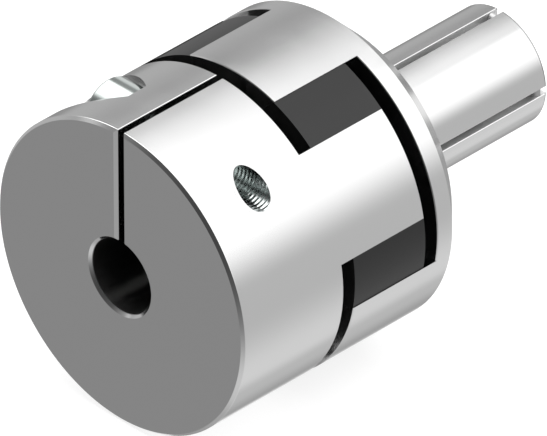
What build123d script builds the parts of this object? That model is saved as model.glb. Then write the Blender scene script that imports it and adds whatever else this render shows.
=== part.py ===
from build123d import *
import os
from math import cos, radians, sqrt, tan

# Backlash-free shaft coupling for a motor shaft and a hollow shaft: a slotted clamp hub, an elastomer
# spider with six legs, and a hub that ends in an expanding mandrel. Sizes are in millimetres.
#
# Frame: the origin is the middle of the clamp hub's front face, +Y runs along the shaft towards the
# mandrel, +Z points at the clamp hub's slot and +X at the threaded end of its clamp screw.
# Turned parts are drawn about their own Z axis, which AXIAL lays along +Y, with X up and Y across.

# Both hubs
HUB_D = 42.0
EDGE_BREAK = 0.1             # on the rims that face the spider

# Clamp hub
CLAMP_BODY_L = 17.0          # front face to the floor between the jaws
CLAMP_BORE_D = 10.0
BORE_CHAMFER = 0.4
FRONT_CHAMFER = 0.4
FRONT_ROUND = 0.1            # between that chamfer and the rim
CLAMP_SLOT_W = 1.0
SLOT_FACE_CHAMFER = 0.4
SLOT_RIM_CHAMFER = 0.1

# Spider and jaws
SPIDER_W = 12.0
SPIDER_GAP = 2.0             # free space between the spider's legs and each hub
SPIDER_INSET = 0.1           # the legs' ends, below the hubs' rim
SPIDER_HOLE_D = 18.0
RING_WALL = 2.5              # of the ring that carries the legs
RING_INSET = 1.0             # its faces, below the legs' faces
LEG_COUNT = 6
LEG_RIM_W = 7.24             # across a leg, where its flanks reach the hubs' outer diameter
LEG_ROOT_W = 6.8             # the same, where they reach the ring
LEG_FLANK_R = 14.0           # the flanks are crowned, and the jaws are hollowed to match
LEG_CLEARANCE = 0.03
JAW_RING_GAP = 0.3           # between the jaws' inner faces and the spider's ring

# Clamp screw, M5 socket head, across the slot
CLAMP_THREAD_D = 5.0
CLAMP_SCREW_L = 14.0
CLAMP_HEAD_D = 8.5
CLAMP_HEAD_H = 5.0
CLAMP_KEY_AF = 4.0
CLAMP_KEY_DEPTH = 2.5
CLAMP_SCREW_Y = 8.5          # behind the front face
CLAMP_SCREW_INSET = 5.5      # its axis, below the hub's rim
CLAMP_SEAT_X = 5.5           # from the slot's middle to the head's seat
CLAMP_HEAD_ROOM = 1.5        # counterbore over the head's diameter
CLAMP_THREAD_ROOM = 0.5      # clearance hole over the thread's diameter

# Mandrel hub
FLANGE_L = 5.7               # floor between the jaws to the rear face
REAR_CHAMFER = 3.2
MANDREL_D = 16.0
MANDREL_L = 26.4             # rear face to the mandrel's end
MANDREL_END_CHAMFER = 0.15
MANDREL_SLOT_COUNT = 4
MANDREL_SLOT_W = 1.0
MANDREL_SLOT_L = 20.0
MANDREL_SLOT_BREAK = 0.1     # on the slots' outer edges
MANDREL_WALL = 3.0           # round the relief bore
MANDREL_LIP = 1.4            # round the cone's large end
SEAT_WEB = 4.5               # wall that the expander screw's head pulls on

# Expander screw, M6 socket head, and its cone nut
EXPANDER_THREAD_D = 6.0
EXPANDER_HEAD_D = 10.0
EXPANDER_HEAD_H = 6.0
EXPANDER_KEY_AF = 5.0
EXPANDER_KEY_DEPTH = 3.0
EXPANDER_HEAD_ROOM = 0.5     # counterbore over the head's diameter
EXPANDER_THREAD_ROOM = 0.6   # clearance hole over the thread's diameter
HEAD_SINK = 0.2              # head's end below the floor between the jaws
CONE_L = 8.0
CONE_HALF_ANGLE = 10.0
CONE_RECESS = 0.9            # its large end below the mandrel's end, flush with the screw's
CONE_KEY_L = 1.0             # the keys that stop it turning, in the mandrel's slots
CONE_KEY_SINK = 0.2          # below the mandrel's surface
CONE_KEY_ROUND = 0.8

# Running fits and small chamfers of the bought screws
THREAD_CLEARANCE = 0.03      # radial, thread envelope in a tapped hole
KEY_CLEARANCE = 0.05         # each side of a cone key
CONE_CLEARANCE = 0.03        # across the cone's flank
HEAD_CHAMFER = 0.3
TIP_CHAMFER = 0.7
DRILL_POINT = 59.0           # half angle of a drilled end

# Derived places along the shaft
HUB_R = HUB_D / 2
JAW_L = SPIDER_GAP + SPIDER_W
SPIDER_Y = CLAMP_BODY_L + SPIDER_GAP
FLOOR_Y = SPIDER_Y + SPIDER_W + SPIDER_GAP
REAR_Y = FLOOR_Y + FLANGE_L
END_Y = REAR_Y + MANDREL_L
EXPANDER_SEAT_Y = FLOOR_Y + HEAD_SINK + EXPANDER_HEAD_H
RELIEF_Y = EXPANDER_SEAT_Y + SEAT_WEB
CONE_END_Y = END_Y - CONE_RECESS
EXPANDER_SCREW_L = CONE_END_Y - EXPANDER_SEAT_Y

# Derived radii and heights
RING_R = SPIDER_HOLE_D / 2 + RING_WALL
JAW_INNER_R = RING_R + JAW_RING_GAP
CLAMP_SCREW_Z = HUB_R - CLAMP_SCREW_INSET
EXPANDER_COUNTERBORE_R = (EXPANDER_HEAD_D + EXPANDER_HEAD_ROOM) / 2
MANDREL_R = MANDREL_D / 2
RELIEF_R = MANDREL_R - MANDREL_WALL
CONE_END_R = MANDREL_R - MANDREL_LIP
PITCH_ANGLE = 360 / LEG_COUNT
TAPER = tan(radians(CONE_HALF_ANGLE))
OVERLAP = 1.0                # how far tools and joined lumps run past a face

AXIAL = Plane(origin=(0, 0, 0), x_dir=(0, 0, 1), z_dir=(0, 1, 0))


def turned(*points):
    """Solid of revolution about Z from the (radius, z) corners of its half section."""
    face = Plane.XZ * make_face(Polyline(*points, close=True))
    return revolve(face, Axis.Z)


def bar(radius, z0, z1):
    """Plain round bar about Z."""
    return Pos(0, 0, z0) * Cylinder(radius, z1 - z0, align=(Align.CENTER, Align.CENTER, Align.MIN))


def leg_lens(growth):
    """Section of the leg on the X axis: where two discs meet, each of which gives one crowned flank.

    growth widens it on both flanks, for the jaws that hold it.
    """
    rim = Vector(sqrt(HUB_R**2 - (LEG_RIM_W / 2) ** 2), LEG_RIM_W / 2)
    root = Vector(sqrt(RING_R**2 - (LEG_ROOT_W / 2) ** 2), LEG_ROOT_W / 2)
    chord = rim - root
    reach = sqrt(LEG_FLANK_R**2 - (chord.length / 2) ** 2)
    middle = (rim + root) * 0.5
    inward = Vector(chord.Y, -chord.X).normalized()
    centre = middle + inward * reach
    disc = Circle(LEG_FLANK_R + growth)
    return (Pos(centre.X, centre.Y) * disc) & (Pos(centre.X, -centre.Y) * disc)


def leg_angles():
    """Angles of the legs, half a pitch away from the slot."""
    return [PITCH_ANGLE * (k + 0.5) for k in range(LEG_COUNT)]


def jaw_set(first_angle, root_z, tip_z):
    """The jaws of one hub: every second space between the legs, with the tips' rim broken."""
    upward = 1 if tip_z > root_z else -1
    ring = turned(
        (JAW_INNER_R, root_z),
        (HUB_R, root_z),
        (HUB_R, tip_z - upward * EDGE_BREAK),
        (HUB_R - EDGE_BREAK, tip_z),
        (JAW_INNER_R, tip_z),
    )
    reach = 2 * HUB_R
    spread = reach * tan(radians(PITCH_ANGLE / 2))
    wedge = make_face(Polyline((0, 0), (reach, -spread), (reach, spread), close=True))
    wedges = Sketch() + [
        Rot(0, 0, first_angle + 2 * PITCH_ANGLE * k) * wedge for k in range(LEG_COUNT // 2)
    ]
    pockets = Sketch() + [Rot(0, 0, angle) * leg_lens(LEG_CLEARANCE) for angle in leg_angles()]
    low, height = min(root_z, tip_z), abs(tip_z - root_z)
    sectors = Pos(0, 0, low) * extrude(wedges, height)
    spaces = Pos(0, 0, low - OVERLAP) * extrude(pockets, height + 2 * OVERLAP)
    return (ring & sectors) - spaces


def socket_screw(thread_d, length, head_d, head_h, key_af, key_depth):
    """Socket head cap screw along +Z with its head's seat at the origin; its thread is its envelope."""
    shank_r = thread_d / 2 - THREAD_CLEARANCE
    head_r = head_d / 2
    blank = turned(
        (0, -head_h),
        (head_r - HEAD_CHAMFER, -head_h),
        (head_r, -head_h + HEAD_CHAMFER),
        (head_r, 0),
        (shank_r, 0),
        (shank_r, length - TIP_CHAMFER),
        (shank_r - TIP_CHAMFER, length),
        (0, length),
    )
    hexagon = RegularPolygon(key_af / 2, 6, major_radius=False)
    socket = Pos(0, 0, -head_h - OVERLAP) * extrude(hexagon, key_depth + OVERLAP)
    point_r = key_af / 2
    point_z = key_depth - head_h
    point = turned((0, point_z), (point_r, point_z), (0, point_z + point_r / tan(radians(DRILL_POINT))))
    return blank - socket - point


def clamp_hub():
    """Front hub: a body split on one side and drawn tight by the clamp screw, with three jaws."""
    bore_r = CLAMP_BORE_D / 2
    body = turned(
        (bore_r + BORE_CHAMFER, 0),
        (HUB_R - FRONT_CHAMFER, 0),
        (HUB_R, FRONT_CHAMFER),
        (HUB_R, CLAMP_BODY_L - EDGE_BREAK),
        (HUB_R - EDGE_BREAK, CLAMP_BODY_L),
        (bore_r, CLAMP_BODY_L),
        (bore_r, BORE_CHAMFER),
    )
    corner = [e for e in body.edges().filter_by(GeomType.CIRCLE) if abs(e.radius - HUB_R) < 1e-6]
    body = fillet(ShapeList(corner).sort_by(Axis.Z)[0], FRONT_ROUND)
    jaws = jaw_set(PITCH_ANGLE, CLAMP_BODY_L - OVERLAP, CLAMP_BODY_L + JAW_L)
    hub = AXIAL * (body + jaws)
    return hub - clamp_slot() - clamp_screw_hole()


def clamp_slot():
    """Tool for the slot above the bore, with its edges broken on the face and on the rim."""
    half = CLAMP_SLOT_W / 2
    face_c, rim_c = SLOT_FACE_CHAMFER, SLOT_RIM_CHAMFER
    top = HUB_R + OVERLAP
    across = make_face(
        Polyline(
            (-half, 0),
            (half, 0),
            (half, HUB_R - rim_c),
            (half + rim_c + OVERLAP, top),
            (-half - rim_c - OVERLAP, top),
            (-half, HUB_R - rim_c),
            close=True,
        )
    )
    slit = Pos(0, -OVERLAP, 0) * extrude(Plane.XZ * across, -(CLAMP_BODY_L + 2 * OVERLAP))
    flare = half + face_c
    along = make_face(
        Polyline((-flare - OVERLAP, -OVERLAP), (flare + OVERLAP, -OVERLAP), (0, flare), close=True)
    )
    return slit + extrude(along, top)


def clamp_screw_hole():
    """Tool for the clamp screw: counterbore and clearance hole on one side, tapped hole on the other."""
    across = Plane(origin=(0, CLAMP_SCREW_Y, CLAMP_SCREW_Z), x_dir=(0, 1, 0), z_dir=(1, 0, 0))
    counterbore = bar((CLAMP_HEAD_D + CLAMP_HEAD_ROOM) / 2, -HUB_R, -CLAMP_SEAT_X)
    clearance = bar((CLAMP_THREAD_D + CLAMP_THREAD_ROOM) / 2, -CLAMP_SEAT_X - OVERLAP, 0)
    tapped = bar(CLAMP_THREAD_D / 2, 0, HUB_R)
    return across * (counterbore + clearance + tapped)


def spider():
    """Elastomer star: six crowned legs on a ring, pressed between the jaws of both hubs."""
    lens = leg_lens(0)
    star = Sketch() + [Rot(0, 0, angle) * lens for angle in leg_angles()]
    star = (star & Circle(HUB_R - SPIDER_INSET)) - Circle(RING_R - OVERLAP)
    ring = Circle(RING_R) - Circle(SPIDER_HOLE_D / 2)
    solid = extrude(star, SPIDER_W) + Pos(0, 0, RING_INSET) * extrude(ring, SPIDER_W - 2 * RING_INSET)
    return AXIAL * (Pos(0, 0, SPIDER_Y) * solid)


def mandrel_hub():
    """Rear hub: three jaws and a flange, turned in one piece with the slotted mandrel."""
    seam_turn = 180 / MANDREL_SLOT_COUNT  # the round faces' seam then lies between two slots
    body = Rot(0, 0, seam_turn) * turned(
        (EXPANDER_COUNTERBORE_R, FLOOR_Y),
        (HUB_R - EDGE_BREAK, FLOOR_Y),
        (HUB_R, FLOOR_Y + EDGE_BREAK),
        (HUB_R, REAR_Y - REAR_CHAMFER),
        (HUB_R - REAR_CHAMFER, REAR_Y),
        (MANDREL_R, REAR_Y),
        (MANDREL_R, END_Y - MANDREL_END_CHAMFER),
        (MANDREL_R - MANDREL_END_CHAMFER, END_Y),
        (0, END_Y),
        (0, EXPANDER_SEAT_Y),
        (EXPANDER_COUNTERBORE_R, EXPANDER_SEAT_Y),
    )
    jaws = jaw_set(0, FLOOR_Y + OVERLAP, FLOOR_Y - JAW_L)
    return AXIAL * (body + jaws - mandrel_bore() - mandrel_slots())


def cone_radius(z):
    """Radius of the cone's flank at a place along the shaft."""
    return CONE_END_R - (CONE_END_Y - z) * TAPER


def mandrel_bore():
    """Tool for the mandrel's inside: screw hole, relief bore and the taper that the cone spreads."""
    gap = CONE_CLEARANCE / cos(radians(CONE_HALF_ANGLE))
    taper_z = CONE_END_Y - (CONE_END_R + gap - RELIEF_R) / TAPER
    hole_r = (EXPANDER_THREAD_D + EXPANDER_THREAD_ROOM) / 2
    hole = bar(hole_r, EXPANDER_SEAT_Y - OVERLAP, RELIEF_Y + OVERLAP)
    relief = turned(
        (0, RELIEF_Y),
        (RELIEF_R, RELIEF_Y),
        (RELIEF_R, taper_z),
        (cone_radius(END_Y + OVERLAP) + gap, END_Y + OVERLAP),
        (0, END_Y + OVERLAP),
    )
    return hole + relief


def mandrel_slots():
    """Tool for the slots that let the mandrel spread, open at its end, with their outer edges broken."""
    half = MANDREL_SLOT_W / 2
    rim, top = MANDREL_R - MANDREL_SLOT_BREAK, MANDREL_R + OVERLAP
    flared = half + top - rim
    across = make_face(
        Polyline((0, -half), (rim, -half), (top, -flared), (top, flared), (rim, half), (0, half), close=True)
    )
    blade = Pos(0, 0, END_Y - MANDREL_SLOT_L) * extrude(across, MANDREL_SLOT_L + OVERLAP)
    return Part() + [Rot(0, 0, 360 * k / MANDREL_SLOT_COUNT) * blade for k in range(MANDREL_SLOT_COUNT)]


def expander_cone():
    """Cone nut with a tapped hole, and a key at its large end for each slot of the mandrel."""
    start = CONE_END_Y - CONE_L
    nut_r = EXPANDER_THREAD_D / 2
    cone = turned(
        (nut_r, start),
        (cone_radius(start), start),
        (cone_radius(CONE_END_Y), CONE_END_Y),
        (nut_r, CONE_END_Y),
    )
    key_r = MANDREL_R - CONE_KEY_SINK
    key_w = MANDREL_SLOT_W - 2 * KEY_CLEARANCE
    key_z = CONE_END_Y - CONE_KEY_L
    root = (nut_r + key_r) / 2
    outline = make_face(
        Polyline((root, key_z), (key_r, key_z), (key_r, CONE_END_Y), (root, CONE_END_Y), close=True)
    )
    outline = fillet(outline.vertices().sort_by(Axis.X)[-2:].sort_by(Axis.Y)[0], CONE_KEY_ROUND)
    key = extrude(Plane.XZ * outline, key_w / 2, both=True)
    keys = [Rot(0, 0, 360 * k / MANDREL_SLOT_COUNT) * key for k in range(MANDREL_SLOT_COUNT)]
    return AXIAL * (cone + keys)


def clamp_screw():
    """M5 screw across the slot, its head in the counterbore."""
    across = Plane(
        origin=(-CLAMP_SEAT_X, CLAMP_SCREW_Y, CLAMP_SCREW_Z), x_dir=(0, 1, 0), z_dir=(1, 0, 0)
    )
    return across * socket_screw(
        CLAMP_THREAD_D, CLAMP_SCREW_L, CLAMP_HEAD_D, CLAMP_HEAD_H, CLAMP_KEY_AF, CLAMP_KEY_DEPTH
    )


def expander_screw():
    """M6 screw on the shaft's axis, reached through the clamp bore, that draws the cone in."""
    screw = socket_screw(
        EXPANDER_THREAD_D,
        EXPANDER_SCREW_L,
        EXPANDER_HEAD_D,
        EXPANDER_HEAD_H,
        EXPANDER_KEY_AF,
        EXPANDER_KEY_DEPTH,
    )
    return AXIAL * (Pos(0, 0, EXPANDER_SEAT_Y) * screw)


PIECES = {
    "clamp_hub": clamp_hub,
    "clamp_screw": clamp_screw,
    "spider": spider,
    "mandrel_hub": mandrel_hub,
    "expander_screw": expander_screw,
    "expander_cone": expander_cone,
}

os.makedirs("parts", exist_ok=True)
for name, make in PIECES.items():
    export_step(make(), f"parts/{name}.step")
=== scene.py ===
"""Shaft coupling: finishes, threads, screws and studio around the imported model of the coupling."""

from collections import namedtuple
from math import cos, hypot, pi, radians, sin, sqrt

import bmesh
import bpy
from mathutils import Matrix, Quaternion, Vector


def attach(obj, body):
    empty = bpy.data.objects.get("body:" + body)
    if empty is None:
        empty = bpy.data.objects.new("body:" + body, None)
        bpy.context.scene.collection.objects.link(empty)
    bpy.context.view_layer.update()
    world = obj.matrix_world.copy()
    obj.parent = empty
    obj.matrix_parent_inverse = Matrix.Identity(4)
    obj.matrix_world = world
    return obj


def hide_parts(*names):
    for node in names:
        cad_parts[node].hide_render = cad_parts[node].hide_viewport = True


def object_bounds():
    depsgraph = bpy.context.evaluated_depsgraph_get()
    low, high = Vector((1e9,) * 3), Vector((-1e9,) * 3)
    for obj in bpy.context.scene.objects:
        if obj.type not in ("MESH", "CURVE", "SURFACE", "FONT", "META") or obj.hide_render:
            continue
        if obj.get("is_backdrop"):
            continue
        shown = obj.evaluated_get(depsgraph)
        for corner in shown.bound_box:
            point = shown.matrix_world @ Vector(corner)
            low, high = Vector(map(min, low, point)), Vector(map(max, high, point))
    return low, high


bl_info = {
    "name": "Shaft coupling",
    "version": (1, 0, 0),
    "blender": (4, 5, 0),
    "location": "View3D > Sidebar > Coupling",
    "description": "Finishes, threads, screws and studio for a jaw coupling with an expanding mandrel",
    "category": "Object",
}

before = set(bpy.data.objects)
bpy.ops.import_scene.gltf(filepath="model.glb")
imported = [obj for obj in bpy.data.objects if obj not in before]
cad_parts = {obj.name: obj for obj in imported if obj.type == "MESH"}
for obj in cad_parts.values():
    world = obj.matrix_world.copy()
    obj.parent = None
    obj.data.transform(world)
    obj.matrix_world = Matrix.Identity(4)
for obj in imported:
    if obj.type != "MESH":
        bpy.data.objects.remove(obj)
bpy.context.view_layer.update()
MM = 0.001

# The photograph's frame, in pixels, and where the coupling's own frame lies in it
PHOTO_W, PHOTO_H = 547, 436
ORIGIN_PX = Vector((119.615, 277.507))
PX_PER_MM = 8.3403
CAMERA_AZIMUTH = 45.787
CAMERA_ELEVATION = 34.575
CAMERA_ROLL = -0.445
CAMERA_DISTANCE = 2.0
SENSOR = 36.0
CLIP_START, CLIP_END = 0.1, 10.0

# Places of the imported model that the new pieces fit, in metres
HUB_R = 21.0 * MM
CLAMP_AXIS_Y = 8.5 * MM
CLAMP_AXIS_Z = 15.5 * MM
CLAMP_SEAT_X = -5.5 * MM
TAPPED_R = 2.5 * MM
EXPANDER_SEAT_Y = 39.2 * MM

# Zones of the hubs that are duller than their outer face, or darker by painted shade, in millimetres along the
# shaft's axis and out from it. Each fades out within its start, end and outer radius, and its inner edge just
# below that radius
Zone = namedtuple("Zone", "start end inner outer roughness metallic shade")
# Painted shade: the bore's base colour is darkened, as shade inside the bore
CLAMP_BORE = Zone(start=0.3, end=18.0, inner=0.0, outer=5.1, roughness=0.38, metallic=1.0, shade=0.35)
MANDREL_SLOTS = Zone(start=39.0, end=65.3, inner=0.0, outer=7.95, roughness=0.38, metallic=0.75, shade=1.0)
# Painted shade: a dark line painted round the mandrel's end edge
MANDREL_END_PAINTED_SHADE = Zone(start=64.83, end=65.3, inner=7.84, outer=8.2, roughness=0.0, metallic=1.0, shade=0.3)
# Rough rear chamfer, with painted shade: its base colour is a little darker, next to the mandrel
REAR_CHAMFER = Zone(start=35.55, end=38.65, inner=0.0, outer=21.2, roughness=0.25, metallic=1.0, shade=0.9)
ZONE_FADE = 0.05
INNER_FADE = 0.04

# Marks of turning, patches of slightly other roughness, and the elastomer's grain
RING_PITCH = 0.12 * MM
RING_DEPTH = 0.004 * MM
RING_STRENGTH = 0.15
PATCHES_PER_M = 120.0
PATCH_NOISE = (0.3, 0.7)
PATCH_SHARES = (0.9, 1.15)
TAPPED_ROUGHNESS = 0.16
TAPPED_RING_DEPTH = 0.0005 * MM
CONE_ROUGHNESS = 0.4
GRAINS_PER_M = 4000.0
GRAIN_DEPTH = 0.01 * MM
GRAIN_STRENGTH = 0.1

# Socket head screws: depths and lengths of the thread and the neck above it, as shares of the pitch
THREAD_DEPTH = 0.6
NECK_DEPTH = 0.3
NECK_L = 1.2
NECK_TAPER_L = 0.5
TIP_L = 0.9
# Slope at which the thread starts, and the share of the neck's radius where it does
START_SLOPE = 0.8
START_SHARE = 0.98
# The head's edge as a share of its diameter, and its corner and the edge at the seat as shares of that edge
HEAD_EDGE = 0.035
EDGE_CORNER = 0.35
SEAT_EDGE = 0.3
# Bevel at the socket's mouth as a share of the head below the socket, and its drilled point of the key size
MOUTH_BEVEL = 0.12
POINT_DEPTH = 0.3

# Tapped hole: a thin liner carries the thread. It starts beyond the screw's tip, reaches into the hub's wall
# and stands proud of the rim by a hair, and the tap that cuts it starts earlier and inside its bore
TIP_GAP = 0.15 * MM
LINER_SUNK = 0.05 * MM
LINER_PROUD = 0.01 * MM
TAP_LEAD = 0.84 * MM
TAP_INSIDE = 0.02 * MM
TAP_ROOT, TAP_CREST, TAP_RISE = 0.08, 0.12, 0.3
RIM_CORE_L = 20.0 * MM
RIM_CORE_SIDES = 720
RIM_SKIN = 0.05 * MM

# Distances within which points are one, an edge is nothing and a cut is on its plane
SAME_POINT = 1e-6
NO_EDGE = 1e-7
ON_PLANE = 1e-8
SMOOTH_ANGLE = radians(25)
ROUND = 96

# The studio that the metal mirrors. Bands run along the shaft, and are given by the angles round its axis
# where they start, are full, fade and end, in degrees from straight up towards the tapped hole's side
Band = namedtuple("Band", "start full fade end")
BOX_OVER = Band(-75, -52, 6, 24)
BOX_BESIDE = Band(3, 14, 58, 95)
LEFT_WALL = Band(-178, -154, -20, 4)
STRIP_BELOW = Band(116, 158, 165, 180)
NOOK = Band(-142, -126, -112, -98)
# Along the shaft: the front edge of both boxes, the slanted rear edge of the one above, where the one beside
# goes from the upper one's brightness to its own, and the reach of the nook, with the light that it takes away
BOXES_FRONT = (-0.50, -0.25)
OVER_REAR_NORMAL = (0.0, -0.99, 0.136)
OVER_REAR = (-0.499, -0.426)
BESIDE_CHANGE = (0.42, 0.52)
NOOK_ALONG = Band(0.35, 0.50, 0.62, 0.70)
NOOK_LEVEL = -0.09
# Spots on the walls: direction, degrees from it where they end and are full, and the brightness they add
Spot = namedtuple("Spot", "direction edge full level")
GLOW = Spot(direction=(-0.95, 0.15, 0.0), edge=38, full=18, level=0.13)
WINDOW = Spot(direction=(-0.55, 0.42, -0.72), edge=12.5, full=9.5, level=0.55)
BACK_LAMP = Spot(direction=(-0.59, 0.80, 0.12), edge=14, full=5, level=0.6)
# The dark side in front, and a darker corner below: direction, and cosines where they start and are full
DARK_SIDE = (0.30, -0.90, 0.32)
DARK_REACH = (0.15, 1.0)
CORNER = (-0.30, -0.50, -0.81)
CORNER_REACH = (0.62, 0.97)
CORNER_SHARE = 0.76

# What the camera sees behind the coupling
WHITE = (1.0, 1.0, 1.0)

# The floor lights the coupling as pale matt paper does, and the camera sees it near white, with the shadow
FLOOR_HALF = 3.0
FLOOR_COLOUR = (0.8, 0.8, 0.8)
FLOOR_ROUGHNESS = 0.9
PAPER_GLOW = 0.8
PAPER_COLOUR = (0.4, 0.4, 0.4)


def length(name, description, default):
    """Length that a user may set, with its default in millimetres."""
    return bpy.props.FloatProperty(
        name=name, description=description, default=default * MM, min=0.0, subtype="DISTANCE", unit="LENGTH",
        precision=5,
    )


def share(name, description, default):
    """Number from 0 to 1 that a user may set."""
    return bpy.props.FloatProperty(
        name=name, description=description, default=default, min=0.0, max=1.0, subtype="FACTOR"
    )


def colour(name, description, default):
    """Colour that a user may set."""
    return bpy.props.FloatVectorProperty(
        name=name, description=description, subtype="COLOR", size=3, min=0.0, max=1.0, default=default
    )


def level(name, description, default):
    """Brightness that a user may set."""
    return bpy.props.FloatProperty(name=name, description=description, default=default, min=0.0)


class CouplingFinish(bpy.types.PropertyGroup):
    """Colours and finishes of the coupling's metals and its spider."""

    aluminium: colour("Aluminium", "Colour of the turned hubs", (0.80, 0.80, 0.80))
    aluminium_roughness: share("Hub roughness", "Roughness of the turned hubs", 0.12)
    steel: colour("Screw steel", "Colour of the plated screws", (0.56, 0.60, 0.585))
    steel_roughness: share("Screw roughness", "Roughness of the plated screws", 0.16)
    tapped: colour("Tapped thread", "Colour of the tapped hole's thread", (0.66, 0.69, 0.685))
    cone: colour("Cone steel", "Colour of the turned cone", (0.50, 0.50, 0.50))
    rubber: colour("Elastomer", "Colour of the spider", (0.008, 0.008, 0.008))
    rubber_roughness: share("Spider roughness", "Roughness of the moulded spider", 0.32)


class CouplingScrews(bpy.types.PropertyGroup):
    """Sizes of the two socket head screws and of the tapped hole."""

    clamp_d: length("Clamp thread", "Outer diameter of the clamp screw's thread", 4.94)
    clamp_pitch: length("Clamp pitch", "Pitch of the clamp screw's thread", 0.6)
    clamp_length: length("Clamp length", "Length of the clamp screw below its head", 14.0)
    clamp_head_d: length("Clamp head", "Diameter of the clamp screw's head", 8.5)
    clamp_head_h: length("Clamp head height", "Height of the clamp screw's head", 5.0)
    clamp_key: length("Clamp key", "Key size of the clamp screw", 4.0)
    clamp_key_depth: length("Clamp socket", "Depth of the clamp screw's socket", 2.5)
    expander_d: length("Expander thread", "Outer diameter of the expander screw's thread", 5.94)
    expander_pitch: length("Expander pitch", "Pitch of the expander screw's thread", 1.0)
    expander_length: length("Expander length", "Length of the expander screw below its head", 25.0)
    expander_head_d: length("Expander head", "Diameter of the expander screw's head", 10.0)
    expander_head_h: length("Expander head height", "Height of the expander screw's head", 6.0)
    expander_key: length("Expander key", "Key size of the expander screw", 5.0)
    expander_key_depth: length("Expander socket", "Depth of the expander screw's socket", 3.0)
    tapped_drill: length("Tapping drill", "Diameter at the crests of the tapped hole", 4.2)
    tapped_depth: length("Thread depth", "Depth of the tapped hole's thread", 0.055)
    tapped_lip: length("Lip", "Plain rim left at the tapped hole's mouth", 0.05)


class CouplingStudio(bpy.types.PropertyGroup):
    """Levels of the studio's light."""

    top: level("Top", "Brightness of the soft box above", 2.2)
    key: level("Key", "Brightness of the soft box beside", 1.35)
    surround: level("Surround", "Brightness of the studio's walls", 0.56)
    left: level("Left", "How much darker the wall on the left is", 0.18)
    front: level("Front", "Share of the walls' brightness on the dark side, in front", 0.12)
    bounce: level("Bounce", "Brightness that the strip below adds", 0.2)


class Nodes:
    """Shorthand for making a node tree."""

    def __init__(self, tree):
        self.tree = tree
        tree.nodes.clear()

    def new(self, kind, **settings):
        """Node of a kind, with its settings."""
        node = self.tree.nodes.new(kind)
        for key, value in settings.items():
            setattr(node, key, value)
        return node

    def link(self, source, target):
        """Link two sockets."""
        self.tree.links.new(source, target)

    def feed(self, value, socket):
        """Link a value that is a socket, or set it as a number."""
        if isinstance(value, bpy.types.NodeSocket):
            self.link(value, socket)
        else:
            socket.default_value = value

    def math(self, operation, a, b=0.0):
        """Result of an operation on two values."""
        node = self.new("ShaderNodeMath", operation=operation)
        self.feed(a, node.inputs[0])
        self.feed(b, node.inputs[1])
        return node.outputs[0]

    def times(self, first, *others):
        """Product of several values."""
        for other in others:
            first = self.math("MULTIPLY", first, other)
        return first

    def dot(self, vector, fixed):
        """Scalar product of a vector with a fixed one."""
        node = self.new("ShaderNodeVectorMath", operation="DOT_PRODUCT")
        self.link(vector, node.inputs[0])
        node.inputs[1].default_value = fixed
        return node.outputs["Value"]

    def ramp(self, value, start, end, low=0.0, high=1.0, smooth=True):
        """Value rising from low at start to high at end."""
        node = self.new("ShaderNodeMapRange", interpolation_type="SMOOTHSTEP" if smooth else "LINEAR")
        self.feed(value, node.inputs["Value"])
        for socket, number in zip(("From Min", "From Max", "To Min", "To Max"), (start, end, low, high)):
            node.inputs[socket].default_value = number
        return node.outputs["Result"]

    def band(self, value, start, full, fade, end):
        """1 from full to fade, with soft edges that reach 0 at start and end."""
        return self.times(self.ramp(value, start, full), self.ramp(value, fade, end, 1.0, 0.0))

    def share(self, amount, full):
        """1 where the amount is 0, and full where it is 1."""
        return self.ramp(amount, 0.0, 1.0, 1.0, full, smooth=False)


def new_material(name, base, metallic, roughness):
    """Material with its node helper and its Principled shader."""
    material = bpy.data.materials.new(name)
    material.use_nodes = True
    nodes = Nodes(material.node_tree)
    output = nodes.new("ShaderNodeOutputMaterial")
    shader = nodes.new("ShaderNodeBsdfPrincipled")
    shader.inputs["Base Color"].default_value = (*base, 1.0)
    shader.inputs["Metallic"].default_value = metallic
    shader.inputs["Roughness"].default_value = roughness
    nodes.link(shader.outputs["BSDF"], output.inputs["Surface"])
    return material, nodes, shader


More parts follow.
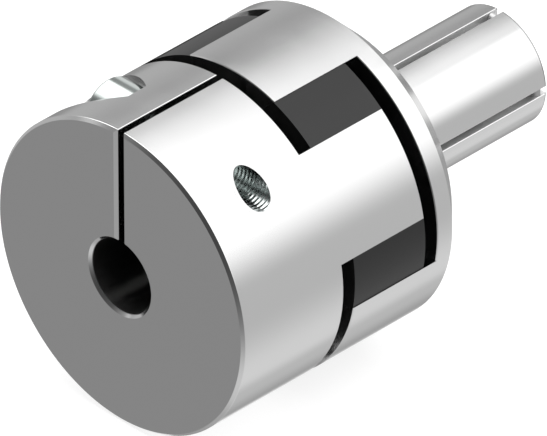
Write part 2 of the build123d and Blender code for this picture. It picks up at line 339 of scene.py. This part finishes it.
def turned_metal(name, base, roughness, zones=(), depth=RING_DEPTH):
    """Metal with the rings of a turning tool round the shaft's axis, with its duller zones, and with painted
    shade that darkens the base colour in some zones.
    """
    material, nodes, shader = new_material(name, base, 1.0, roughness)
    place = nodes.new("ShaderNodeTexCoord").outputs["Object"]
    apart = nodes.new("ShaderNodeSeparateXYZ")
    nodes.link(place, apart.inputs[0])
    x, y, z = apart.outputs
    across = nodes.math("SQRT", nodes.math("ADD", nodes.math("POWER", x, 2.0), nodes.math("POWER", z, 2.0)))
    rings = nodes.new("ShaderNodeTexNoise", noise_dimensions="1D")
    nodes.link(nodes.times(nodes.math("ADD", across, y), 1.0 / RING_PITCH), rings.inputs["W"])
    rings.inputs["Scale"].default_value = 1.0
    rings.inputs["Detail"].default_value = 1.0
    patches = nodes.new("ShaderNodeTexNoise")
    nodes.link(place, patches.inputs["Vector"])
    patches.inputs["Scale"].default_value = PATCHES_PER_M
    patches.inputs["Detail"].default_value = 2.0
    worn = nodes.ramp(patches.outputs["Fac"], *PATCH_NOISE, *(roughness * part for part in PATCH_SHARES))
    metallic = shade = 1.0
    for zone in zones:
        start, end, inner, outer = (size * MM for size in zone[:4])
        fade = ZONE_FADE * MM
        dull = nodes.times(nodes.band(y, start, start + fade, end - fade, end),
                           nodes.ramp(across, outer - fade, outer, 1.0, 0.0))
        if inner:
            dull = nodes.times(dull, nodes.ramp(across, inner - INNER_FADE * MM, inner))
        worn = nodes.math("MAXIMUM", worn, nodes.times(dull, zone.roughness))
        if zone.metallic < 1.0:
            metallic = nodes.times(nodes.share(dull, zone.metallic), metallic)
        # Painted shade: the zone's base colour is darkened, standing in for shade
        if zone.shade < 1.0:
            shade = nodes.times(nodes.share(dull, zone.shade), shade)
    nodes.link(worn, shader.inputs["Roughness"])
    if metallic != 1.0:
        nodes.link(metallic, shader.inputs["Metallic"])
    # The painted shade scales the base colour
    if shade != 1.0:
        base_with_painted_shade = nodes.new("ShaderNodeVectorMath", operation="SCALE")
        base_with_painted_shade.inputs[0].default_value = base
        nodes.link(shade, base_with_painted_shade.inputs["Scale"])
        nodes.link(base_with_painted_shade.outputs[0], shader.inputs["Base Color"])
    bump = nodes.new("ShaderNodeBump")
    bump.inputs["Strength"].default_value = RING_STRENGTH
    bump.inputs["Distance"].default_value = depth
    nodes.link(rings.outputs["Fac"], bump.inputs["Height"])
    nodes.link(bump.outputs["Normal"], shader.inputs["Normal"])
    return material


def moulded_rubber(name, base, roughness):
    """Elastomer with the fine matt grain of its mould."""
    material, nodes, shader = new_material(name, base, 0.0, roughness)
    place = nodes.new("ShaderNodeTexCoord").outputs["Object"]
    grain = nodes.new("ShaderNodeTexNoise")
    nodes.link(place, grain.inputs["Vector"])
    grain.inputs["Scale"].default_value = GRAINS_PER_M
    grain.inputs["Detail"].default_value = 2.0
    bump = nodes.new("ShaderNodeBump")
    bump.inputs["Strength"].default_value = GRAIN_STRENGTH
    bump.inputs["Distance"].default_value = GRAIN_DEPTH
    nodes.link(grain.outputs["Fac"], bump.inputs["Height"])
    nodes.link(bump.outputs["Normal"], shader.inputs["Normal"])
    return material


MATERIALS = {}


class COUPLING_OT_finish(bpy.types.Operator):
    """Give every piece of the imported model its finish"""

    bl_idname = "coupling.finish"
    bl_label = "Finish the pieces"

    def execute(self, context):
        look = context.scene.coupling_finish
        MATERIALS["clamp"] = turned_metal(
            "clamp hub aluminium", look.aluminium, look.aluminium_roughness, (CLAMP_BORE,))
        MATERIALS["mandrel"] = turned_metal(
            "mandrel hub aluminium", look.aluminium, look.aluminium_roughness,
            (MANDREL_END_PAINTED_SHADE, MANDREL_SLOTS, REAR_CHAMFER))
        MATERIALS["steel"] = turned_metal("plated steel", look.steel, look.steel_roughness)
        MATERIALS["tapped"] = turned_metal(
            "tapped thread", look.tapped, TAPPED_ROUGHNESS, depth=TAPPED_RING_DEPTH)
        MATERIALS["cone"] = turned_metal("turned steel", look.cone, CONE_ROUGHNESS)
        MATERIALS["rubber"] = moulded_rubber("black elastomer", look.rubber, look.rubber_roughness)
        given = {
            "clamp_hub": "clamp", "mandrel_hub": "mandrel", "clamp_screw": "steel",
            "expander_screw": "steel", "expander_cone": "cone", "spider": "rubber",
        }
        for node, finish in given.items():
            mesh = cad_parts[node].data
            mesh.materials.clear()
            mesh.materials.append(MATERIALS[finish])
        return {"FINISHED"}


def lathe(points, steps=ROUND):
    """Closed solid of revolution about X from the (x, radius) corners of its half section."""
    mesh = bmesh.new()
    corners = [mesh.verts.new((x, 0.0, r)) for x, r in points]
    edges = [mesh.edges.new((corners[i - 1], corners[i])) for i in range(len(corners))]
    bmesh.ops.spin(
        mesh, geom=corners + edges, cent=(0, 0, 0), axis=(1, 0, 0), angle=2 * pi, steps=steps,
        use_merge=True, use_duplicate=False,
    )
    bmesh.ops.remove_doubles(mesh, verts=mesh.verts, dist=SAME_POINT)
    bmesh.ops.dissolve_degenerate(mesh, edges=mesh.edges, dist=NO_EDGE)
    bmesh.ops.recalc_face_normals(mesh, faces=mesh.faces)
    return mesh


def threaded_bar(start, end, pitch, root_r, crest_r, root=0.25, crest=0.125, rise=0.3125):
    """Closed bar about X with a right-handed thread, whose root, crest and rise are shares of the pitch."""
    mesh = bmesh.new()
    steps = ROUND // 2
    section = ((0, root_r), (root, root_r), (root + rise, crest_r), (root + rise + crest, crest_r),
               (1, root_r))
    line = [mesh.verts.new((start + (s - 1) * pitch, 0.0, r)) for s, r in section]
    edges = [mesh.edges.new(pair) for pair in zip(line, line[1:])]
    turns = int((end - start) / pitch) + 3
    bmesh.ops.spin(
        mesh, geom=line + edges, cent=(0, 0, 0), axis=(1, 0, 0), dvec=(pitch / steps, 0, 0),
        angle=2 * pi * turns, steps=steps * turns, use_merge=False, use_duplicate=False,
    )
    bmesh.ops.remove_doubles(mesh, verts=mesh.verts, dist=pitch * 1e-3)
    for place, side in ((start, -1), (end, 1)):
        everything = mesh.verts[:] + mesh.edges[:] + mesh.faces[:]
        bmesh.ops.bisect_plane(
            mesh, geom=everything, plane_co=(place, 0, 0), plane_no=(side, 0, 0), clear_outer=True,
            dist=ON_PLANE,
        )
    rims = [edge for edge in mesh.edges if edge.is_boundary]
    bmesh.ops.holes_fill(mesh, edges=rims, sides=0)
    bmesh.ops.recalc_face_normals(mesh, faces=mesh.faces)
    return mesh


def as_object(mesh, name):
    """Object with a mesh of its own, made from a bmesh that is used up."""
    data = bpy.data.meshes.new(name)
    mesh.to_mesh(data)
    mesh.free()
    made = bpy.data.objects.new(name, data)
    bpy.context.scene.collection.objects.link(made)
    return made


def carve(target, tool, operation):
    """Apply an exact Boolean to the target's mesh, and throw the tool away."""
    step = target.modifiers.new("carve", "BOOLEAN")
    step.operation = operation
    step.solver = "EXACT"
    step.object = tool
    bpy.context.view_layer.update()
    graph = bpy.context.evaluated_depsgraph_get()
    result = bpy.data.meshes.new_from_object(target.evaluated_get(graph))
    if not result.polygons:
        raise RuntimeError(f"nothing left of {target.name}")
    target.modifiers.clear()
    target.data = result
    bpy.data.objects.remove(tool)


def settle(made, finish, slot, body, *replaced):
    """Shade a finished piece, give it its material and let it ride."""
    mesh = made.data
    mesh.name = made.name
    mesh.shade_smooth()
    mesh.set_sharp_from_angle(angle=SMOOTH_ANGLE)
    mesh.materials.clear()
    mesh.materials.append(MATERIALS[finish])
    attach(made, body)
    if replaced:
        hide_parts(*replaced)


def merged(target, part):
    """Add the mesh of a bmesh that is used up to the target's mesh."""
    mesh = bmesh.new()
    mesh.from_mesh(target.data)
    data = bpy.data.meshes.new("part")
    part.to_mesh(data)
    part.free()
    mesh.from_mesh(data)
    mesh.to_mesh(target.data)
    mesh.free()


def socket_screw(name, thread_d, pitch, screw_l, head_d, head_h, key, key_depth):
    """Socket head screw along +X with its seat at the origin and a real thread."""
    head_r, crest_r = head_d / 2, thread_d / 2
    root_r = crest_r - THREAD_DEPTH * pitch
    neck_r = crest_r - NECK_DEPTH * pitch
    neck_l, tip_l = NECK_L * pitch, TIP_L * pitch
    core_x = neck_l + NECK_TAPER_L * pitch
    edge = HEAD_EDGE * head_d
    corner, seat_edge = EDGE_CORNER * edge, SEAT_EDGE * edge
    blank = lathe([
        (-head_h, 0), (-head_h, head_r - edge), (-head_h + corner, head_r - corner),
        (-head_h + edge, head_r), (-seat_edge, head_r), (0, head_r - seat_edge),
        (0, neck_r), (neck_l, neck_r), (core_x, root_r), (core_x, 0),
    ])
    screw = as_object(blank, name)
    corner_r = key / 2 / cos(pi / 6)
    tool = bmesh.new()
    bmesh.ops.create_cone(
        tool, cap_ends=True, segments=6, radius1=corner_r, radius2=corner_r, depth=2 * key_depth
    )
    bmesh.ops.rotate(tool, verts=tool.verts, cent=(0, 0, 0), matrix=Matrix.Rotation(pi / 2, 3, "Y"))
    bmesh.ops.translate(tool, verts=tool.verts, vec=(-head_h, 0, 0))
    carve(screw, as_object(tool, "hexagon"), "DIFFERENCE")
    bevel = MOUTH_BEVEL * (head_h - key_depth)
    outside, inside = -head_h - bevel, -head_h + bevel
    mouth = lathe([(outside, 0), (outside, corner_r + 2 * bevel), (inside, corner_r), (inside, 0)])
    carve(screw, as_object(mouth, "mouth"), "DIFFERENCE")
    floor = -head_h + key_depth
    above = floor - key_depth / 2
    point = lathe([(above, 0), (above, key / 2), (floor, key / 2), (floor + POINT_DEPTH * key, 0)])
    carve(screw, as_object(point, "drilled point"), "DIFFERENCE")
    thread = threaded_bar(neck_l, screw_l, pitch, root_r, crest_r)
    for vert in thread.verts:
        radius = hypot(vert.co.y, vert.co.z)
        at_tip = crest_r - max(0.0, vert.co.x - (screw_l - tip_l))
        at_start = root_r + max(0.0, vert.co.x - neck_l) * START_SLOPE
        limit = min(at_tip, max(at_start, neck_r * START_SHARE))
        if radius > limit:
            vert.co.y *= limit / radius
            vert.co.z *= limit / radius
    merged(screw, thread)
    return screw


def placed(piece, matrix):
    """Put a piece in its place within its own mesh."""
    piece.data.transform(matrix)
    return piece


class COUPLING_OT_screws(bpy.types.Operator):
    """Make both socket head screws with their threads"""

    bl_idname = "coupling.screws"
    bl_label = "Screws"

    def execute(self, context):
        size = context.scene.coupling_screws
        clamp = socket_screw(
            "clamp_screw_detail", size.clamp_d, size.clamp_pitch, size.clamp_length, size.clamp_head_d,
            size.clamp_head_h, size.clamp_key, size.clamp_key_depth,
        )
        placed(clamp, Matrix.Translation((CLAMP_SEAT_X, CLAMP_AXIS_Y, CLAMP_AXIS_Z)))
        settle(clamp, "steel", "screw_steel", "clamp_screw_body", "clamp_screw")
        expander = socket_screw(
            "expander_screw_detail", size.expander_d, size.expander_pitch, size.expander_length,
            size.expander_head_d, size.expander_head_h, size.expander_key, size.expander_key_depth,
        )
        along = Matrix.Rotation(pi / 2, 4, "Z")
        placed(expander, Matrix.Translation((0, EXPANDER_SEAT_Y, 0)) @ along)
        settle(expander, "steel", "screw_steel", "expander_screw_body", "expander_screw")
        return {"FINISHED"}


class COUPLING_OT_tapped_hole(bpy.types.Operator):
    """Cut the thread of the clamp hub's tapped hole, up to its mouth in the rim"""

    bl_idname = "coupling.tapped_hole"
    bl_label = "Tapped hole"

    def execute(self, context):
        size = context.scene.coupling_screws
        start = CLAMP_SEAT_X + size.clamp_length + TIP_GAP
        drill_r, outer_r = size.tapped_drill / 2, TAPPED_R + LINER_SUNK
        rim_r = HUB_R + LINER_PROUD
        liner = lathe([(start, drill_r), (HUB_R, drill_r), (HUB_R, (drill_r + outer_r) / 2),
                       (HUB_R, outer_r), (start, outer_r)], steps=2 * ROUND)
        # The outer end follows the hub's round rim
        for vert in liner.verts:
            if vert.co.x > start + MM:
                vert.co.x = sqrt(rim_r**2 - (CLAMP_AXIS_Z + vert.co.z) ** 2)
        liner = as_object(liner, "tapped_thread")
        tap = threaded_bar(
            start - TAP_LEAD, HUB_R, size.clamp_pitch, drill_r - TAP_INSIDE, drill_r + size.tapped_depth,
            root=TAP_ROOT, crest=TAP_CREST, rise=TAP_RISE,
        )
        tap = as_object(tap, "tap")
        # The thread ends below the rim, which leaves a plain lip
        core_r = HUB_R - size.tapped_lip
        core = bmesh.new()
        bmesh.ops.create_cone(
            core, cap_ends=True, segments=RIM_CORE_SIDES, radius1=core_r, radius2=core_r, depth=RIM_CORE_L
        )
        bmesh.ops.rotate(core, verts=core.verts, cent=(0, 0, 0), matrix=Matrix.Rotation(pi / 2, 3, "X"))
        bmesh.ops.translate(core, verts=core.verts, vec=(0, 0, -CLAMP_AXIS_Z))
        carve(tap, as_object(core, "core"), "INTERSECT")
        carve(liner, tap, "DIFFERENCE")
        placed(liner, Matrix.Translation((0, CLAMP_AXIS_Y, CLAMP_AXIS_Z)))
        settle(liner, "tapped", "turned_aluminium", "clamp_side")
        # The lip in the rim looks as the hub does
        liner.data.materials.append(MATERIALS["clamp"])
        for face in liner.data.polygons:
            if hypot(face.center.x, face.center.z) > HUB_R - RIM_SKIN:
                face.material_index = 1
        return {"FINISHED"}


def studio_world(studio):
    """Studio seen by light and reflections: soft boxes above, grey walls and a dark side in front."""
    world = bpy.data.worlds.new("studio")
    world.use_nodes = True
    nodes = Nodes(world.node_tree)
    out = nodes.new("ShaderNodeOutputWorld")
    ray = nodes.new("ShaderNodeTexCoord").outputs["Generated"]
    apart = nodes.new("ShaderNodeSeparateXYZ")
    nodes.link(ray, apart.inputs[0])
    x, y, z = apart.outputs
    turn = nodes.math("ARCTAN2", x, z)

    def towards(direction):
        """Cosine of the angle from a direction."""
        return nodes.dot(ray, Vector(direction).normalized())

    def around(band):
        """1 in a band of angles round the shaft's axis."""
        return nodes.band(turn, *(radians(angle) for angle in band))

    def lit(spot):
        """Brightness that a spot adds."""
        inside = nodes.ramp(towards(spot.direction), cos(radians(spot.edge)), cos(radians(spot.full)))
        return nodes.times(inside, spot.level)

    front = nodes.ramp(y, *BOXES_FRONT)
    rear = nodes.ramp(nodes.dot(ray, OVER_REAR_NORMAL), *OVER_REAR, smooth=False)
    over = nodes.times(around(BOX_OVER), rear, front)
    beside = nodes.times(around(BOX_BESIDE), front)
    walls = (
        nodes.times(around(LEFT_WALL), -studio.left),
        nodes.times(around(STRIP_BELOW), studio.bounce),
        nodes.times(around(NOOK), nodes.band(y, *NOOK_ALONG), NOOK_LEVEL),
        lit(GLOW), lit(WINDOW), lit(BACK_LAMP),
    )
    level = studio.surround
    for part in walls:
        level = nodes.math("ADD", level, part)
    key = nodes.ramp(y, *BESIDE_CHANGE, studio.top, studio.key)
    for box, bright in ((over, studio.top), (beside, key)):
        rest = nodes.times(level, nodes.math("SUBTRACT", 1.0, box))
        level = nodes.math("ADD", rest, nodes.times(box, bright))
    dark = nodes.share(nodes.ramp(towards(DARK_SIDE), *DARK_REACH), studio.front)
    corner = nodes.ramp(towards(CORNER), *CORNER_REACH, 1.0, CORNER_SHARE)
    level = nodes.times(level, dark, corner)
    light = nodes.new("ShaderNodeBackground")
    white = nodes.new("ShaderNodeBackground")
    for background in (light, white):
        background.inputs["Color"].default_value = (*WHITE, 1.0)
    nodes.link(level, light.inputs["Strength"])
    path = nodes.new("ShaderNodeLightPath")
    mix = nodes.new("ShaderNodeMixShader")
    nodes.link(path.outputs["Is Camera Ray"], mix.inputs[0])
    nodes.link(light.outputs[0], mix.inputs[1])
    nodes.link(white.outputs[0], mix.inputs[2])
    nodes.link(mix.outputs[0], out.inputs[0])
    return world


def studio_floor():
    """Plain white floor under the coupling, which keeps its soft shadow."""
    mesh = bmesh.new()
    bmesh.ops.create_grid(mesh, x_segments=1, y_segments=1, size=FLOOR_HALF)
    bmesh.ops.translate(mesh, verts=mesh.verts, vec=(0, 0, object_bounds()[0].z))
    floor = as_object(mesh, "floor")
    floor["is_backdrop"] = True
    material, nodes, shader = new_material("floor", FLOOR_COLOUR, 0.0, FLOOR_ROUGHNESS)
    glow = nodes.new("ShaderNodeEmission")
    glow.inputs["Strength"].default_value = PAPER_GLOW
    paper = nodes.new("ShaderNodeBsdfDiffuse")
    paper.inputs["Color"].default_value = (*PAPER_COLOUR, 1.0)
    both = nodes.new("ShaderNodeAddShader")
    mix = nodes.new("ShaderNodeMixShader")
    path = nodes.new("ShaderNodeLightPath")
    nodes.link(glow.outputs[0], both.inputs[0])
    nodes.link(paper.outputs[0], both.inputs[1])
    nodes.link(path.outputs["Is Camera Ray"], mix.inputs[0])
    nodes.link(shader.outputs[0], mix.inputs[1])
    nodes.link(both.outputs[0], mix.inputs[2])
    output = next(node for node in nodes.tree.nodes if node.type == "OUTPUT_MATERIAL")
    nodes.link(mix.outputs[0], output.inputs[0])
    floor.data.materials.append(material)
    floor.visible_glossy = False


def photo_camera():
    """Camera at the photograph's viewing angle and framing."""
    a, e = radians(CAMERA_AZIMUTH), radians(CAMERA_ELEVATION)
    back = Vector((sin(a) * cos(e), -cos(a) * cos(e), sin(e)))
    turn = back.to_track_quat("Z", "Y") @ Quaternion((0, 0, 1), radians(CAMERA_ROLL))
    lens_px = PX_PER_MM * CAMERA_DISTANCE / MM
    off_x = PHOTO_W / 2 - ORIGIN_PX.x
    off_y = ORIGIN_PX.y - PHOTO_H / 2
    forward = (turn @ Vector((off_x, off_y, -lens_px))).normalized()
    level = turn @ Vector((1, 0, 0))
    right = (level - forward * level.dot(forward)).normalized()
    up = right.cross(forward)
    data = bpy.data.cameras.new("camera")
    data.sensor_width = SENSOR
    data.sensor_fit = "HORIZONTAL"
    data.lens = lens_px * SENSOR / PHOTO_W
    data.clip_start, data.clip_end = CLIP_START, CLIP_END
    camera = bpy.data.objects.new("camera", data)
    camera.rotation_mode = "QUATERNION"
    camera.location = back * CAMERA_DISTANCE
    camera.rotation_quaternion = Matrix((right, up, -forward)).transposed().to_quaternion()
    return camera


class COUPLING_OT_stage(bpy.types.Operator):
    """Set up the floor, the light and the camera"""

    bl_idname = "coupling.stage"
    bl_label = "Stage"

    def execute(self, context):
        scene = context.scene
        scene.view_settings.view_transform = "Standard"
        studio_floor()
        scene.world = studio_world(scene.coupling_studio)
        camera = photo_camera()
        scene.collection.objects.link(camera)
        scene.camera = camera
        return {"FINISHED"}


class COUPLING_PT_panel(bpy.types.Panel):
    """Lists the coupling's operators"""

    bl_idname = "COUPLING_PT_panel"
    bl_label = "Shaft coupling"
    bl_space_type = "VIEW_3D"
    bl_region_type = "UI"
    bl_category = "Coupling"

    def draw(self, context):
        for operator in OPERATORS:
            self.layout.operator(operator.bl_idname)


OPERATORS = (COUPLING_OT_finish, COUPLING_OT_screws, COUPLING_OT_tapped_hole, COUPLING_OT_stage)
GROUPS = (CouplingFinish, CouplingScrews, CouplingStudio)


def register():
    """Register the classes and the groups of sizes, colours and levels."""
    for cls in (*GROUPS, *OPERATORS, COUPLING_PT_panel):
        bpy.utils.register_class(cls)
    bpy.types.Scene.coupling_finish = bpy.props.PointerProperty(type=CouplingFinish)
    bpy.types.Scene.coupling_screws = bpy.props.PointerProperty(type=CouplingScrews)
    bpy.types.Scene.coupling_studio = bpy.props.PointerProperty(type=CouplingStudio)


def unregister():
    """Undo what register does."""
    del bpy.types.Scene.coupling_studio
    del bpy.types.Scene.coupling_screws
    del bpy.types.Scene.coupling_finish
    for cls in reversed((*GROUPS, *OPERATORS, COUPLING_PT_panel)):
        bpy.utils.unregister_class(cls)


def main():
    """Make every piece and the stage."""
    register()
    bpy.ops.coupling.finish()
    bpy.ops.coupling.screws()
    bpy.ops.coupling.tapped_hole()
    bpy.ops.coupling.stage()


if __name__ == "__main__":
    main()
